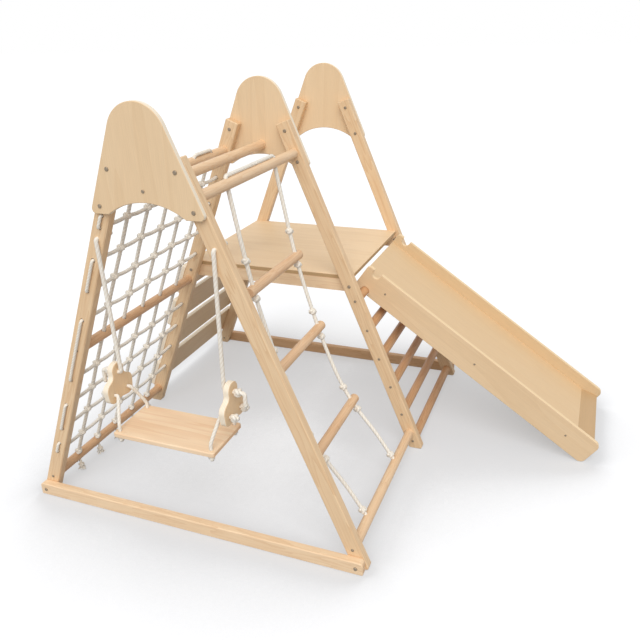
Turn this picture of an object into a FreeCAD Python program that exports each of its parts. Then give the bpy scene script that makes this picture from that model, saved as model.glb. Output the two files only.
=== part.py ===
import FreeCAD, Part
import math
import os

# A children's wooden climbing frame: three A-frames joined by bars, with a swing in the front
# A-frame, a climbing net and a rope ladder in the first bay, and a deck with a slide, a ladder
# and a wall of boards in the second bay.
# Millimetres. +X runs towards the slide, +Y from the swing end to the deck end, +Z up.
# The origin is the middle of the front ground rail's underside.

os.makedirs("parts", exist_ok=True)
V = FreeCAD.Vector
Y_AXIS = V(0, 1, 0)
X_AXIS = V(1, 0, 0)

# A-frames
FRAME_HEIGHT = 1240.0       # top of the crown plates
FOOT_HALF = 540.0           # leg centre line at the floor, from the middle plane
CROWN_BOLT_HALF = 97.0      # leg centre line at the upper crown bolts
CROWN_BOLT_DROP = 160.0     # upper crown bolts below the top
CROWN_BOLT_PITCH = 102.0    # upper to lower crown bolt, along the leg
LEG_WIDTH = 45.0
LEG_THICK = 28.0
LEG_TOP_OVER = 28.0         # leg above its upper crown bolt
FOOT_ROUND = 8.0
EDGE_EASE = 2.5             # eased edges of the solid timber
CORNER_ROUND = 4.0          # sawn corners of the solid timber
PLY_EASE = 1.5              # eased edges of the plywood
NET_BAY = 585.0             # clear space between the front and middle legs
DECK_BAY = 538.0            # clear space between the middle and rear legs

# Plywood crowns
CROWN_THICK = 15.0
CROWN_SKIRT = 115.0         # crown below its upper bolts
CROWN_CORNER = 12.0
ARCH_HALF = 112.0
ARCH_RISE = 36.0

# Ground rails and deck beams share one stock
RAIL_HEIGHT = 42.0
RAIL_THICK = 25.0
RAIL_OVER = 12.0            # rail past the legs' centre lines at the floor
RAIL_END_ROUND = 12.0
RAIL_BOLT_HEIGHT = 21.0

# Round bars
BAR_DIA = 30.0
SIDE_BAR_DROP = 68.0        # side monkey bars below the upper crown bolts
MIDDLE_BAR_DROP = 50.0
LOW_BAR_Z = 60.0            # net bottom bar and rope ladder bottom bar
HOOK_BAR_Z = 533.0
RUNG_PITCH = 101.0          # height between ladder rungs
RUNG_COUNT = 5

# Deck and climbing boards
DECK_TOP = 612.0
DECK_THICK = 15.0
DECK_LEFT_BACK = 1.3        # deck inside the left legs' outer edges
DECK_HOOK_BACK = 20.4       # deck short of the hook bar's middle
DECK_CORNER = 6.0
BEAM_BOLT_DROP = 14.0       # beam bolt below the beam's top
BOARD_COUNT = 4
BOARD_HEIGHT = 118.0
BOARD_GAP = 32.0
BOARD_THICK = 15.0
BOARD_CORNER = 8.0
BOARD_FIRST_Z = 58.0        # bottom of the lowest board at the leg line
BOARD_SCREW_INSET = 24.0

# Slide
SLIDE_SLOPE = math.radians(34.74)
SLIDE_WIDTH = 393.0
SLIDE_PLY = 15.0
SLIDE_DEPTH = 97.0          # side panel, square to the slope
SLIDE_EDGE_DROP = 10.0      # panel's lower edge below the hook bar's middle
SLIDE_HEAD = 41.0           # panel above the hook bar's middle, along the slope
SLIDE_HEAD_ROUND = 14.0
SLIDE_END_ROUND = 20.0
SLIDE_END_BOARD = 60.0
SLIDE_END_BACK = 5.0        # run-out short of the panel's end
RUNOUT_TURN = math.radians(14.0)
SLIDE_SCREW_FIRST = 63.0
SLIDE_SCREW_PITCH = 383.0
SLIDE_SCREW_COUNT = 3
HOOK_PLAY = 0.4             # notch round the hook bar, on the radius

# Ropes
ROPE_DIA = 10.0             # swing hangers and rope ladder
CORD_DIA = 10.0              # net and seat ropes
KNOT_RADIUS = 12.0
CORD_KNOT_RADIUS = 10.5
NET_CORDS = 5
NET_CORD_PITCH = 100.0
NET_FIRST_ROW = 110.0       # first net row each side of the middle bar, along the leg
NET_TOP_GAP = 96.0          # last net row from the top bar, along the leg
NET_LOW_GAP = 116.0         # last net row from the bottom bar
NET_ROWS = 4
LACE_RETURN = 36.0          # end lacing hole from its row
LACE_BEND = 7.0
TASSEL_DROP = 32.0
TASSEL_ROUND = 11.0

# Rope ladder
LADDER_RUNG_DIA = 30.0
LADDER_RUNG_OVER = 26.0     # rung past its rope
LADDER_FRONT_Y = 188.0      # front rope on top of the monkey bar
LADDER_WIDTH = 291.0
LADDER_LEAN = 36.0          # how far the ropes drift forward on their way down
LADDER_TOP_BEND = 7.0       # ropes over the edge of their holes in the monkey bar
LADDER_TAIL = 12.0          # rope ends below the bottom bar

# Swing
SWING_HOLE_DROP = 187.0     # rope holes below the upper crown bolts
SWING_OUT = 6.0             # hanging line in front of the leg face
SWING_HINGE_DROP = 73.0     # from the holes to where the hangers swing, clear of the legs' edges
SEAT_LENGTH = 322.0
SEAT_DEPTH = 162.0
SEAT_THICK = 16.0
SEAT_TOP_Z = 355.0
SEAT_CORNER = 8.0
SEAT_EASE = 3.0
SEAT_HOLE_INSET = 15.0
PLATE_INNER = 174.0
PLATE_THICK = 18.0
PLATE_HOLE_Z = 505.0
PLATE_LOW_DROP = 61.0       # seat rope holes below the hanger hole
PLATE_LOW_HALF = 29.0
PLATE_TOP_HALF = 25.0
PLATE_TOP_UP = 28.0
PLATE_LOBE_HALF = 58.0
PLATE_LOBE_UP = -30.0
PLATE_FOOT_HALF = 50.0
PLATE_FOOT_UP = -90.0
PLATE_WAIST_HALF = 24.0
PLATE_WAIST_UP = -14.0
PLATE_ARCH_UP = -80.0
PLATE_LOBE_ROUND = 22.0
PLATE_WAIST_ROUND = 16.0
HANGER_INSET = 10.0         # hanger rope inside the plate's inner face
HANGER_BEND = 6.0
HINGE_BALL_R = 6.0
HANGER_TOP_GAP = 4.5        # hanger's cupped end below the hinge line
HANGER_TAIL_OUT = 33.0      # rope end outside the plate
HANGER_TAIL_DROP = 40.0
HANGER_TAIL_BEND = 12.0
SEAT_KNOT_DROP = 10.0

# Fasteners
BOLT_DIA = 8.0
BOLT_HEAD_DIA = 11.0
BOLT_HEAD_HIGH = 3.0
SCREW_DIA = 6.0
SCREW_HEAD_DIA = 9.0
SCREW_HEAD_HIGH = 2.5
SMALL_SCREW_DIA = 4.0
SMALL_HEAD_DIA = 7.0
SMALL_HEAD_HIGH = 1.5
SMALL_SCREW_REACH = 40.0
SCREW_REACH = 45.0          # screw thread inside a bar's end
HOLE_PLAY = 0.3             # drilled hole over its bolt or rope, on the radius
ROPE_PLAY = 0.3             # rope clear of what it wraps, on the radius
LACE_HOLE_PLAY = 1.5        # hole over a rope that bends at its mouth, on the radius
OVERRUN = 2.0               # cuts run past the faces that they cross

# Places worked out from the sizes
CROWN_BOLT_Z = FRAME_HEIGHT - CROWN_BOLT_DROP
CROWN_BOTTOM_Z = CROWN_BOLT_Z - CROWN_SKIRT
SIDE_BAR_Z = CROWN_BOLT_Z - SIDE_BAR_DROP
MIDDLE_BAR_Z = CROWN_BOLT_Z - MIDDLE_BAR_DROP
SWING_HOLE_Z = CROWN_BOLT_Z - SWING_HOLE_DROP
SWING_HINGE_Z = SWING_HOLE_Z - SWING_HINGE_DROP
RAIL_HALF = FOOT_HALF + RAIL_OVER
LEG_SLOPE = (FOOT_HALF - CROWN_BOLT_HALF) / CROWN_BOLT_Z
LEG_TILT = math.atan(LEG_SLOPE)
SIN_TILT = math.sin(LEG_TILT)
COS_TILT = math.cos(LEG_TILT)
EDGE_OUT = LEG_WIDTH / 2 / COS_TILT
FRONT_Y = RAIL_THICK / 2
MIDDLE_Y = FRONT_Y + LEG_THICK + NET_BAY
REAR_Y = MIDDLE_Y + LEG_THICK + DECK_BAY
LOWER_BOLT_Z = CROWN_BOLT_Z - CROWN_BOLT_PITCH * COS_TILT
BEAM_TOP = DECK_TOP - DECK_THICK
BEAM_BOLT_Z = BEAM_TOP - BEAM_BOLT_DROP
SWING_Y = FRONT_Y - SWING_OUT
BAR_R = BAR_DIA / 2
ROPE_R = ROPE_DIA / 2
CORD_R = CORD_DIA / 2


def leg_x(z):
    """Distance of a leg's centre line from the middle plane at a height."""
    return CROWN_BOLT_HALF + (CROWN_BOLT_Z - z) * LEG_SLOPE


def leg_z(down):
    """Height of a point on a leg's centre line, measured down from the upper crown bolt."""
    return CROWN_BOLT_Z - down * COS_TILT


def save(name, solids):
    """Write one node: a solid, or a group of separate solids."""
    shape = solids[0] if len(solids) == 1 else Part.makeCompound(solids)
    shape.exportStep("parts/" + name + ".step")


def rounded_wire(corners, place):
    """Closed outline through (u, v, radius) corners, each rounded by its radius, put in space by place."""
    edges = []
    last = None
    first = None
    count = len(corners)
    for i in range(count):
        before, here, after = corners[i - 1], corners[i], corners[(i + 1) % count]
        point = V(here[0], here[1], 0)
        back = (V(before[0], before[1], 0) - point).normalize()
        ahead = (V(after[0], after[1], 0) - point).normalize()
        half = back.getAngle(ahead) / 2
        reach = here[2] / math.tan(half)
        start = point + back * reach
        end = point + ahead * reach
        if last is not None:
            edges.append(Part.LineSegment(place(last.x, last.y), place(start.x, start.y)).toShape())
        else:
            first = start
        if here[2] > 0:
            middle = point + (back + ahead).normalize() * here[2] * (1 / math.sin(half) - 1)
            arc = Part.Arc(place(start.x, start.y), place(middle.x, middle.y), place(end.x, end.y))
            edges.append(arc.toShape())
        last = end
    edges.append(Part.LineSegment(place(last.x, last.y), place(first.x, first.y)).toShape())
    return Part.Wire(edges)


def slab(corners, place, along):
    """Board of one thickness: a rounded outline carried along a vector."""
    return Part.Face(rounded_wire(corners, place)).extrude(along)


def front_place(y):
    """Outlines drawn in X and Z on a plane at y."""
    return lambda u, v: V(u, y, v)


def eased(solid, size, along):
    """Take off the edges of the two broad faces square to a direction."""
    edges = [e for f in solid.Faces if f.Surface.TypeId == "Part::GeomPlane"
             and abs(f.normalAt(0, 0).dot(along)) > math.cos(LEG_TILT / 2) for e in f.Edges]
    return solid.makeChamfer(size, edges)


def rod(x, z, y0, y1, radius):
    """Round rod along Y."""
    return Part.makeCylinder(radius, y1 - y0, V(x, y0, z), Y_AXIS)


def drilled(solid, places, y0, y1, radius):
    """Drill holes along Y at (x, z) places."""
    return solid.cut([rod(x, z, y0, y1, radius) for x, z in places])


def fastener(start, along, dia, head_dia, head_high, length):
    """Pan-headed bolt or screw: the head stands on a face at start, the shank runs along a direction."""
    head_r = head_dia / 2
    shank_r = dia / 2
    crown = head_high / 2
    profile = [V(0, 0, -head_high), V(head_r - crown, 0, -head_high), V(head_r, 0, -crown),
               V(head_r, 0, 0), V(shank_r, 0, 0), V(shank_r, 0, length), V(0, 0, length), V(0, 0, -head_high)]
    solid = Part.Face(Part.makePolygon(profile)).revolve(V(0, 0, 0), V(0, 0, 1), 360)
    solid.Placement = FreeCAD.Placement(start, FreeCAD.Rotation(V(0, 0, 1), along))
    return solid


def bolt(start, along, length):
    return fastener(start, along, BOLT_DIA, BOLT_HEAD_DIA, BOLT_HEAD_HIGH, length)


def screw(start, along, length):
    return fastener(start, along, SCREW_DIA, SCREW_HEAD_DIA, SCREW_HEAD_HIGH, length)


def small_screw(start, along):
    return fastener(start, along, SMALL_SCREW_DIA, SMALL_HEAD_DIA, SMALL_HEAD_HIGH, SMALL_SCREW_REACH)


def tube(points, radius, bends):
    """Rope along straight runs joined by tangent arcs: a bend radius for each inner point."""
    edges = []
    last = points[0]
    for i in range(1, len(points) - 1):
        back = (points[i - 1] - points[i]).normalize()
        ahead = (points[i + 1] - points[i]).normalize()
        half = back.getAngle(ahead) / 2
        reach = bends[i - 1] / math.tan(half)
        start = points[i] + back * reach
        end = points[i] + ahead * reach
        middle = points[i] + (back + ahead).normalize() * bends[i - 1] * (1 / math.sin(half) - 1)
        edges.append(Part.LineSegment(last, start).toShape())
        edges.append(Part.Arc(start, middle, end).toShape())
        last = end
    edges.append(Part.LineSegment(last, points[-1]).toShape())
    path = Part.Wire(edges)
    heading = (points[1] - points[0]).normalize()
    section = Part.Wire([Part.makeCircle(radius, points[0], heading)])
    solid = path.makePipeShell([section], True, False)
    gap = abs(solid.Volume / (math.pi * radius * radius * path.Length) - 1)
    print("rope", round(path.Length), "long, bends", [round(b) for b in bends], "volume off by", round(gap, 4))
    return solid


def easy_bends(points):
    """Largest tangent arcs that the runs of a rope allow: 0.45 of the shorter run at each point."""
    run_share = 0.45
    bends = []
    for i in range(1, len(points) - 1):
        back = points[i - 1] - points[i]
        ahead = points[i + 1] - points[i]
        half = (math.pi - back.getAngle(ahead)) / 2
        bends.append(run_share * min(back.Length, ahead.Length) / math.tan(half))
    return bends


def knot(centre, along, radius):
    """Knot as a barrel round its rope."""
    waist_share = 0.5
    waist = radius * waist_share
    profile = [V(0, 0, -radius), V(waist, 0, -radius), V(radius, 0, -waist), V(radius, 0, waist),
               V(waist, 0, radius), V(0, 0, radius), V(0, 0, -radius)]
    solid = Part.Face(Part.makePolygon(profile)).revolve(V(0, 0, 0), V(0, 0, 1), 360)
    solid.Placement = FreeCAD.Placement(centre, FreeCAD.Rotation(V(0, 0, 1), along))
    return solid


def bore(centre, along, radius):
    """Cross hole through a bar, or through a rung of the same stock or less."""
    half = V(along).normalize() * BAR_DIA
    return Part.makeCylinder(radius, half.Length * 2, centre - half, half)


# Places of every hole in the legs, as (x, z) on the right; the left mirrors them.
def mirrored(places):
    return [(-x, z) for x, z in places]


def on_leg(z):
    return (leg_x(z), z)


CROWN_BOLTS = [on_leg(CROWN_BOLT_Z), on_leg(LOWER_BOLT_Z)]
SIDE_BAR = on_leg(SIDE_BAR_Z)
LOW_BAR = on_leg(LOW_BAR_Z)
NET_MIDDLE_SHARE = 0.4903   # net middle bar between the top and bottom bars, along the leg
TOP_DOWN = (CROWN_BOLT_Z - SIDE_BAR_Z) / COS_TILT
LOW_DOWN = (CROWN_BOLT_Z - LOW_BAR_Z) / COS_TILT
NET_MIDDLE_DOWN = TOP_DOWN + (LOW_DOWN - TOP_DOWN) * NET_MIDDLE_SHARE
NET_MIDDLE_Z = leg_z(NET_MIDDLE_DOWN)
NET_MIDDLE = on_leg(NET_MIDDLE_Z)
RUNGS = [on_leg(HOOK_BAR_Z - i * RUNG_PITCH) for i in range(RUNG_COUNT + 1)]
BEAM_BOLT = on_leg(BEAM_BOLT_Z)
RAIL_BOLT = on_leg(RAIL_BOLT_HEIGHT)
SWING_HOLE = on_leg(SWING_HOLE_Z)
UPPER_PITCH = (NET_MIDDLE_DOWN - TOP_DOWN - NET_TOP_GAP - NET_FIRST_ROW) / (NET_ROWS - 1)
LOWER_PITCH = (LOW_DOWN - NET_MIDDLE_DOWN - NET_LOW_GAP - NET_FIRST_ROW) / (NET_ROWS - 1)
UPPER_ROWS = [TOP_DOWN + NET_TOP_GAP + i * UPPER_PITCH for i in range(NET_ROWS)]
LOWER_ROWS = [NET_MIDDLE_DOWN + NET_FIRST_ROW + i * LOWER_PITCH for i in range(NET_ROWS)]
NET_ROW_DOWN = UPPER_ROWS + LOWER_ROWS
LACES = [(NET_ROW_DOWN[0] - LACE_RETURN, NET_ROW_DOWN[0])]
LACES += [(NET_ROW_DOWN[i], NET_ROW_DOWN[i + 1]) for i in range(1, len(NET_ROW_DOWN) - 1, 2)]
LACES += [(NET_ROW_DOWN[-1] - LACE_RETURN, NET_ROW_DOWN[-1])]
MIDDLE_LACES = [(NET_ROW_DOWN[i], NET_ROW_DOWN[i + 1]) for i in range(0, len(NET_ROW_DOWN), 2)]
LACE_HOLES = [on_leg(leg_z(down)) for pair in LACES for down in pair]
MIDDLE_LACE_HOLES = [on_leg(leg_z(down)) for pair in MIDDLE_LACES for down in pair]


# Legs: planks with square tops and level, rounded feet.
def leg(y):
    top_in = (leg_x(CROWN_BOLT_Z) - LEG_TOP_OVER * SIN_TILT - LEG_WIDTH / 2 * COS_TILT,
              CROWN_BOLT_Z + LEG_TOP_OVER * COS_TILT - LEG_WIDTH / 2 * SIN_TILT)
    top_out = (leg_x(CROWN_BOLT_Z) - LEG_TOP_OVER * SIN_TILT + LEG_WIDTH / 2 * COS_TILT,
               CROWN_BOLT_Z + LEG_TOP_OVER * COS_TILT + LEG_WIDTH / 2 * SIN_TILT)
    corners = [(top_in[0], top_in[1], CORNER_ROUND), (top_out[0], top_out[1], CORNER_ROUND),
               (FOOT_HALF + EDGE_OUT, 0, FOOT_ROUND), (FOOT_HALF - EDGE_OUT, 0, FOOT_ROUND)]
    return eased(slab(corners, front_place(y), Y_AXIS * LEG_THICK), EDGE_EASE, Y_AXIS)


def mirror_x(solid):
    return solid.mirror(V(0, 0, 0), X_AXIS)


BOLT_R = BOLT_DIA / 2 + HOLE_PLAY
SCREW_R = SCREW_DIA / 2 + HOLE_PLAY
LACE_R = CORD_R + LACE_HOLE_PLAY
SINK_R = SCREW_HEAD_DIA / 2 + HOLE_PLAY
SINK_DEEP = SCREW_HEAD_HIGH + HOLE_PLAY


def finished_leg(y, bolts, screws, laces, ropes, sinks):
    """A leg with its bolt, screw, lacing and rope holes, and counterbores at (x, z, face y, way in)."""
    solid = leg(y)
    y0 = y - OVERRUN
    y1 = y + LEG_THICK + OVERRUN
    solid = drilled(solid, bolts, y0, y1, BOLT_R)
    for places, radius in ((screws, SCREW_R), (laces, LACE_R), (ropes, ROPE_R + HOLE_PLAY)):
        if places:
            solid = drilled(solid, places, y0, y1, radius)
    for x, z, face, way in sinks:
        low = min(face - way * OVERRUN, face + way * SINK_DEEP)
        high = max(face - way * OVERRUN, face + way * SINK_DEEP)
        solid = drilled(solid, [(x, z)], low, high, SINK_R)
    return solid


def left_out(y, down, out):
    """A point by its distance down the left legs and out from their outer edges."""
    return V(-CROWN_BOLT_HALF - down * SIN_TILT - (LEG_WIDTH / 2 + out) * COS_TILT, y,
             CROWN_BOLT_Z - down * COS_TILT + (LEG_WIDTH / 2 + out) * SIN_TILT)


BOARD_OUTWARD = V(-COS_TILT, 0, SIN_TILT)
BOARD_LOW_DOWN = (CROWN_BOLT_Z - BOARD_FIRST_Z) / COS_TILT
BOARD_LOWS = [BOARD_LOW_DOWN - i * (BOARD_HEIGHT + BOARD_GAP) for i in range(BOARD_COUNT)]
BOARD_SCREW_DOWNS = [(low - BOARD_SCREW_INSET, low - BOARD_HEIGHT + BOARD_SCREW_INSET) for low in BOARD_LOWS]


def board_holes(y):
    """Screw holes for the climbing boards, in a left leg and the boards on it."""
    length = SMALL_SCREW_REACH + OVERRUN * 2
    return [Part.makeCylinder(SMALL_SCREW_DIA / 2 + HOLE_PLAY, length,
                              left_out(y + LEG_THICK / 2, down, BOARD_THICK + OVERRUN), BOARD_OUTWARD * -1)
            for pair in BOARD_SCREW_DOWNS for down in pair]


FRONT_BACK = FRONT_Y + LEG_THICK
MIDDLE_BACK = MIDDLE_Y + LEG_THICK
REAR_BACK = REAR_Y + LEG_THICK
side_front_sink = (SIDE_BAR[0], SIDE_BAR[1], FRONT_Y, 1)
net_front_sink = (NET_MIDDLE[0], NET_MIDDLE[1], FRONT_Y, 1)
side_middle_sink = (SIDE_BAR[0], SIDE_BAR[1], MIDDLE_BACK, -1)
save("front_right_leg", [finished_leg(FRONT_Y, CROWN_BOLTS + [RAIL_BOLT], [SIDE_BAR, LOW_BAR],
                                      [], [SWING_HOLE], [side_front_sink])])
save("front_left_leg", [mirror_x(finished_leg(FRONT_Y, CROWN_BOLTS + [RAIL_BOLT], [SIDE_BAR, LOW_BAR, NET_MIDDLE],
                                              LACE_HOLES, [SWING_HOLE], [side_front_sink, net_front_sink]))])
save("middle_right_leg", [finished_leg(MIDDLE_Y, CROWN_BOLTS + [BEAM_BOLT], [SIDE_BAR, LOW_BAR] + RUNGS,
                                       [], [], [side_middle_sink])])
middle_left = mirror_x(finished_leg(MIDDLE_Y, CROWN_BOLTS + [BEAM_BOLT], [SIDE_BAR, LOW_BAR, NET_MIDDLE],
                                    MIDDLE_LACE_HOLES, [], [side_middle_sink]))
save("middle_left_leg", [middle_left.cut(board_holes(MIDDLE_Y))])
save("rear_right_leg", [finished_leg(REAR_Y, CROWN_BOLTS + [BEAM_BOLT], RUNGS, [], [], [])])
rear_left = mirror_x(finished_leg(REAR_Y, CROWN_BOLTS + [BEAM_BOLT, RAIL_BOLT], [], [], [], []))
save("rear_left_leg", [rear_left.cut(board_holes(REAR_Y))])


# Crowns: plywood gussets with sides along the legs, a round top and an arched underside.
def crown(y, centre_hole):
    apex_z = CROWN_BOLT_Z + (CROWN_BOLT_HALF + EDGE_OUT) / LEG_SLOPE
    top_round = (apex_z - FRAME_HEIGHT) / (1 / SIN_TILT - 1)
    low_half = leg_x(CROWN_BOTTOM_Z) + EDGE_OUT
    corners = [(0, apex_z, top_round), (low_half, CROWN_BOTTOM_Z, CROWN_CORNER),
               (-low_half, CROWN_BOTTOM_Z, CROWN_CORNER)]
    solid = slab(corners, front_place(y), Y_AXIS * CROWN_THICK)
    arch_r = (ARCH_HALF * ARCH_HALF + ARCH_RISE * ARCH_RISE) / (2 * ARCH_RISE)
    arch_z = CROWN_BOTTOM_Z + ARCH_RISE - arch_r
    solid = solid.cut(rod(0, arch_z, y - OVERRUN, y + CROWN_THICK + OVERRUN, arch_r))
    solid = eased(solid, PLY_EASE, Y_AXIS)
    y0 = y - OVERRUN
    y1 = y + CROWN_THICK + OVERRUN
    solid = drilled(solid, CROWN_BOLTS + mirrored(CROWN_BOLTS), y0, y1, BOLT_R)
    if centre_hole:
        solid = drilled(solid, [(0, MIDDLE_BAR_Z)], y0, y1, SCREW_R)
    return solid


save("front_crown", [crown(FRONT_Y - CROWN_THICK, True)])
save("middle_crown", [crown(MIDDLE_BACK, True)])
save("rear_crown", [crown(REAR_BACK, False)])


# Ground rails across the feet of the end A-frames, with rounded upper corners. At the rear right foot
# the lowest rung's screw passes through the rail, so the rail has no bolt of its own there.
def rail(y):
    corners = [(-RAIL_HALF, 0, CORNER_ROUND), (RAIL_HALF, 0, CORNER_ROUND),
               (RAIL_HALF, RAIL_HEIGHT, RAIL_END_ROUND), (-RAIL_HALF, RAIL_HEIGHT, RAIL_END_ROUND)]
    solid = eased(slab(corners, front_place(y), Y_AXIS * RAIL_THICK), EDGE_EASE, Y_AXIS)
    return drilled(solid, mirrored([RAIL_BOLT]), y - OVERRUN, y + RAIL_THICK + OVERRUN, BOLT_R)


front_rail = rail(FRONT_Y - RAIL_THICK)
save("front_ground_rail", [drilled(front_rail, [RAIL_BOLT], FRONT_Y - RAIL_THICK - OVERRUN, FRONT_Y + OVERRUN, BOLT_R)])
rear_rail = rail(REAR_BACK)
save("rear_ground_rail", [drilled(rear_rail, RUNGS[-1:], REAR_BACK - OVERRUN, REAR_BACK + RAIL_THICK + OVERRUN, SCREW_R)])


# Round bars: turned rods drilled at both ends for their screws.
def bar(x, z, y0, y1):
    solid = rod(x, z, y0, y1, BAR_R)
    pilot = SCREW_DIA / 2 + HOLE_PLAY
    deep = SCREW_REACH + OVERRUN
    return solid.cut([rod(x, z, y0 - OVERRUN, y0 + deep, pilot), rod(x, z, y1 - deep, y1 + OVERRUN, pilot)])


save("middle_monkey_bar", [bar(0, MIDDLE_BAR_Z, FRONT_Y, MIDDLE_BACK)])
save("slide_hook_bar", [bar(RUNGS[0][0], RUNGS[0][1], MIDDLE_BACK, REAR_Y)])
for i in range(1, RUNG_COUNT + 1):
    save("ladder_rung_%d" % i, [bar(RUNGS[i][0], RUNGS[i][1], MIDDLE_BACK, REAR_Y)])


# Deck: a plywood panel on two solid beams that are bolted to the legs.
DECK_LEFT = leg_x(DECK_TOP) + EDGE_OUT - DECK_LEFT_BACK
DECK_RIGHT = RUNGS[0][0] - DECK_HOOK_BACK


def beam(y):
    corners = [(-DECK_LEFT, BEAM_TOP - RAIL_HEIGHT, EDGE_EASE), (DECK_RIGHT, BEAM_TOP - RAIL_HEIGHT, EDGE_EASE),
               (DECK_RIGHT, BEAM_TOP, EDGE_EASE), (-DECK_LEFT, BEAM_TOP, EDGE_EASE)]
    solid = slab(corners, front_place(y), Y_AXIS * RAIL_THICK)
    return drilled(solid, [BEAM_BOLT] + mirrored([BEAM_BOLT]), y - OVERRUN, y + RAIL_THICK + OVERRUN, BOLT_R)


save("deck_front_beam", [beam(MIDDLE_BACK)])
save("deck_rear_beam", [beam(REAR_Y - RAIL_THICK)])
deck_corners = [(-DECK_LEFT, MIDDLE_BACK, DECK_CORNER), (DECK_RIGHT, MIDDLE_BACK, DECK_CORNER),
                (DECK_RIGHT, REAR_Y, DECK_CORNER), (-DECK_LEFT, REAR_Y, DECK_CORNER)]
deck = slab(deck_corners, lambda u, v: V(u, v, BEAM_TOP), V(0, 0, DECK_THICK))
save("deck_panel", [eased(deck, PLY_EASE, V(0, 0, 1))])


# Climbing boards on the outer edges of the middle and rear left legs.
board_screws = []
for i in range(BOARD_COUNT):
    low = BOARD_LOWS[i]
    high = low - BOARD_HEIGHT
    corners = [(MIDDLE_Y, low, BOARD_CORNER), (REAR_BACK, low, BOARD_CORNER),
               (REAR_BACK, high, BOARD_CORNER), (MIDDLE_Y, high, BOARD_CORNER)]
    board = slab(corners, lambda u, v: left_out(u, v, 0), BOARD_OUTWARD * BOARD_THICK)
    board = eased(board, PLY_EASE, BOARD_OUTWARD)
    save("climbing_board_%d" % (i + 1), [board.cut(board_holes(MIDDLE_Y) + board_holes(REAR_Y))])
    for y in (MIDDLE_Y, REAR_Y):
        for down in BOARD_SCREW_DOWNS[i]:
            board_screws.append(small_screw(left_out(y + LEG_THICK / 2, down, BOARD_THICK), BOARD_OUTWARD * -1))
save("board_screws", board_screws)


# Slide: two plywood sides that hook over the bar, with a bed and a short flatter run-out between them.
HOOK_X = RUNGS[0][0]
SIN_SLOPE = math.sin(SLIDE_SLOPE)
COS_SLOPE = math.cos(SLIDE_SLOPE)
SLIDE_LOW = -SLIDE_EDGE_DROP
SLIDE_HIGH = SLIDE_DEPTH - SLIDE_EDGE_DROP
SLIDE_MIDDLE = (SLIDE_LOW + SLIDE_HIGH) / 2
# The lower end stands on the floor, which sets the length.
END_CENTRE = (HOOK_BAR_Z + (SLIDE_LOW + SLIDE_END_ROUND) * COS_SLOPE - SLIDE_END_ROUND) / SIN_SLOPE
SLIDE_LENGTH = END_CENTRE + SLIDE_END_ROUND
BAY_MIDDLE = (MIDDLE_BACK + REAR_Y) / 2
SLIDE_NEAR = BAY_MIDDLE - SLIDE_WIDTH / 2
SLIDE_FAR = BAY_MIDDLE + SLIDE_WIDTH / 2
SLIDE_SCREWS = [SLIDE_SCREW_FIRST + i * SLIDE_SCREW_PITCH for i in range(SLIDE_SCREW_COUNT)]


def slide_point(along, up, y):
    """A point by its distance down the slope from the hook bar and square to the slope."""
    return V(HOOK_X + along * COS_SLOPE + up * SIN_SLOPE, y, HOOK_BAR_Z - along * SIN_SLOPE + up * COS_SLOPE)


def slide_place(y):
    return lambda u, v: slide_point(u, v, y)


def slide_rod(along, up, y0, y1, radius):
    centre = slide_point(along, up, 0)
    return rod(centre.x, centre.z, y0, y1, radius)


def slide_panel(y):
    corners = [(-SLIDE_HEAD, SLIDE_LOW, SLIDE_HEAD_ROUND), (SLIDE_LENGTH, SLIDE_LOW, SLIDE_END_ROUND),
               (SLIDE_LENGTH, SLIDE_HIGH, SLIDE_END_ROUND), (-SLIDE_HEAD, SLIDE_HIGH, SLIDE_HEAD_ROUND)]
    solid = slab(corners, slide_place(y), Y_AXIS * SLIDE_PLY)
    y0 = y - OVERRUN
    y1 = y + SLIDE_PLY + OVERRUN
    notch_r = BAR_R + HOOK_PLAY
    for seat, mouth in ((0, SLIDE_LOW - OVERRUN), (SLIDE_MIDDLE * 2, SLIDE_HIGH + OVERRUN)):
        throat = [(-notch_r, mouth, 0), (notch_r, mouth, 0), (notch_r, seat, 0), (-notch_r, seat, 0)]
        solid = solid.cut([slide_rod(0, seat, y0, y1, notch_r),
                           slab(throat, slide_place(y0), Y_AXIS * (y1 - y0))])
    solid = eased(solid, PLY_EASE, Y_AXIS)
    holes = [slide_rod(s, SLIDE_MIDDLE, y0, y1, SMALL_SCREW_DIA / 2 + HOLE_PLAY) for s in SLIDE_SCREWS]
    return solid.cut(holes)


BED_NEAR = SLIDE_NEAR + SLIDE_PLY
BED_FAR = SLIDE_FAR - SLIDE_PLY
BED_TOP = SLIDE_MIDDLE + SLIDE_PLY / 2
BED_END = SLIDE_LENGTH - SLIDE_END_BACK - SLIDE_END_BOARD
bed_corners = [(-SLIDE_HEAD, BED_TOP - SLIDE_PLY, PLY_EASE), (BED_END, BED_TOP - SLIDE_PLY, 0),
               (BED_END, BED_TOP, 0), (-SLIDE_HEAD, BED_TOP, PLY_EASE)]
bed = slab(bed_corners, slide_place(BED_NEAR), Y_AXIS * (BED_FAR - BED_NEAR))
pilot_deep = SMALL_SCREW_REACH - SLIDE_PLY + OVERRUN
pilots = [slide_rod(s, SLIDE_MIDDLE, BED_NEAR - OVERRUN, BED_NEAR + pilot_deep, SMALL_SCREW_DIA / 2 + HOLE_PLAY)
          for s in SLIDE_SCREWS]
pilots += [slide_rod(s, SLIDE_MIDDLE, BED_FAR - pilot_deep, BED_FAR + OVERRUN, SMALL_SCREW_DIA / 2 + HOLE_PLAY)
           for s in SLIDE_SCREWS]
save("slide_bed", [bed.cut(pilots)])
rise = math.tan(RUNOUT_TURN) * SLIDE_END_BOARD
runout_corners = [(BED_END, BED_TOP - SLIDE_PLY, 0), (BED_END + SLIDE_END_BOARD, BED_TOP - SLIDE_PLY + rise, PLY_EASE),
                  (BED_END + SLIDE_END_BOARD, BED_TOP + rise, PLY_EASE), (BED_END, BED_TOP, 0)]
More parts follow.
